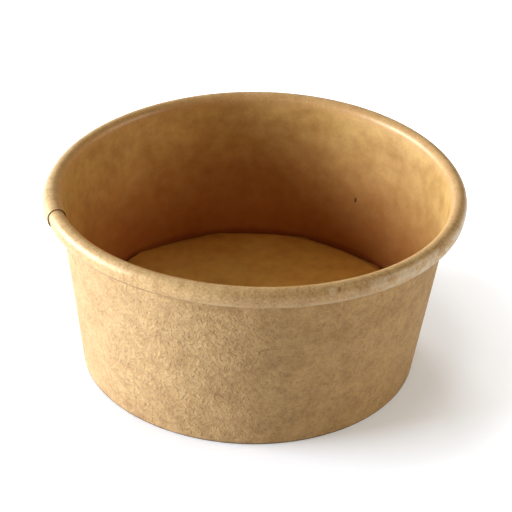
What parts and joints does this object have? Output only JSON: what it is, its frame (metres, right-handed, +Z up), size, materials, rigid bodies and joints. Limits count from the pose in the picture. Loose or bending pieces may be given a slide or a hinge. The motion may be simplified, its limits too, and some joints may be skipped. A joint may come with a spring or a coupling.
{
  "type": "paper portion cup",
  "caption": "Round conical kraft board cup with a rolled rim, a glued side lap and a recessed floor clasped by the turned-in foot.",
  "frame": {"origin": "centre of the foot, on the surface that the cup stands on", "axes": "+Z up along the cup's axis, towards the mouth; the lap's free edge lies 23 degrees past -X, turned towards -Y"},
  "size_m": [0.075, 0.075, 0.0352],
  "materials": {
    "kraft_sleeve": "uncoated brown kraft board outside, thinly coated and faintly glossy inside",
    "kraft_floor": "brown kraft board, thinly coated and faintly glossy on the inside"
  },
  "bodies": {
    "root": {"side_wall": "kraft_sleeve", "base_disc": "kraft_floor"}
  },
  "joints": []
}
